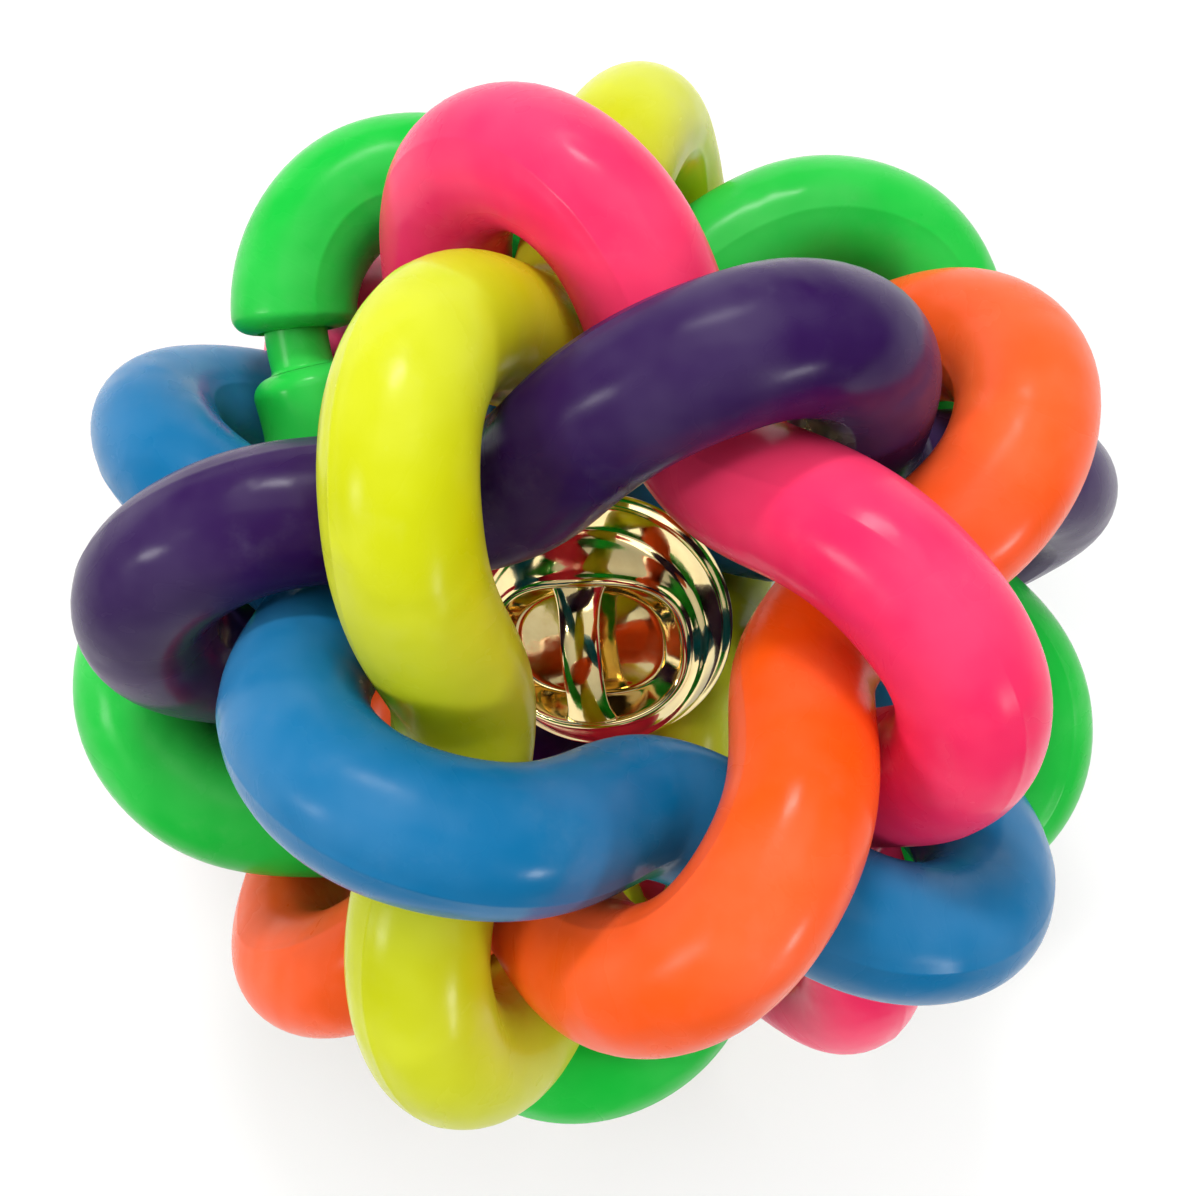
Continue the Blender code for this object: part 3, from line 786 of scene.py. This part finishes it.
def area_light(name, target, place, size, power):
    """A white rectangle that faces a target."""
    data = bpy.data.lights.new(name, "AREA")
    data.shape = "RECTANGLE"
    data.size, data.size_y = size
    data.energy = power
    made = bpy.data.objects.new(name, data)
    made.location = place
    made.rotation_euler = (Vector(target) - Vector(place)).to_track_quat("-Z", "Y").to_euler()
    bpy.context.scene.collection.objects.link(made)


def sky(zenith, horizon):
    """A white surround, brighter overhead than at the sides."""
    world = bpy.data.worlds.new("world")
    bpy.context.scene.world = world
    world.use_nodes = True
    tree = world.node_tree
    direction = tree.nodes.new("ShaderNodeTexCoord")
    parts = tree.nodes.new("ShaderNodeSeparateXYZ")
    strength = tree.nodes.new("ShaderNodeMapRange")
    tree.links.new(direction.outputs["Generated"], parts.inputs["Vector"])
    tree.links.new(parts.outputs["Z"], strength.inputs["Value"])
    strength.inputs["To Min"].default_value = horizon
    strength.inputs["To Max"].default_value = zenith
    background = tree.nodes["Background"]
    background.inputs["Color"].default_value = (1.0, 1.0, 1.0, 1.0)
    tree.links.new(strength.outputs["Result"], background.inputs["Strength"])


def stage(centre):
    """The pale floor, the white surround and the lights."""
    half, low = FLOOR_HALF, -FLOOR_DROP
    corners = [(-half, -half, low), (half, -half, low), (half, half, low), (-half, half, low)]
    floor = mesh_piece("floor", corners, [(0, 1, 2, 3)], floor_finish())
    sky(ZENITH, HORIZON)
    for name, (place, size, power) in LIGHTS.items():
        area_light(name, centre, place, size, power)
    bpy.context.scene.view_settings.view_transform = "Standard"


def main():
    """All pieces, placed from the frame's boxes and joints."""
    lo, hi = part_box("strand_green")
    centre = Vector((0, 0, (lo.z + hi.z) / 2))
    table = length_table()
    for index, colour in enumerate(STRAND_COLOURS):
        strand(index, colour, table, centre.z)
    bell_centre = Vector(next(joint["pos_m"] for joint in frame["joints"]
                              if joint["name"] == "pellet_roll"))
    pose = (Matrix.Rotation(BELL_LEAN_AZIMUTH, 3, "Z") @ Matrix.Rotation(BELL_LEAN, 3, "Y")
            @ Matrix.Rotation(STRAP_TURN, 3, "Z"))
    gold = gold_plate()
    bell_crown(pose, bell_centre, gold)
    bell_bowl(pose, bell_centre, gold)
    pellet(bell_centre, steel())
    stage(centre)
    camera(centre)


main()
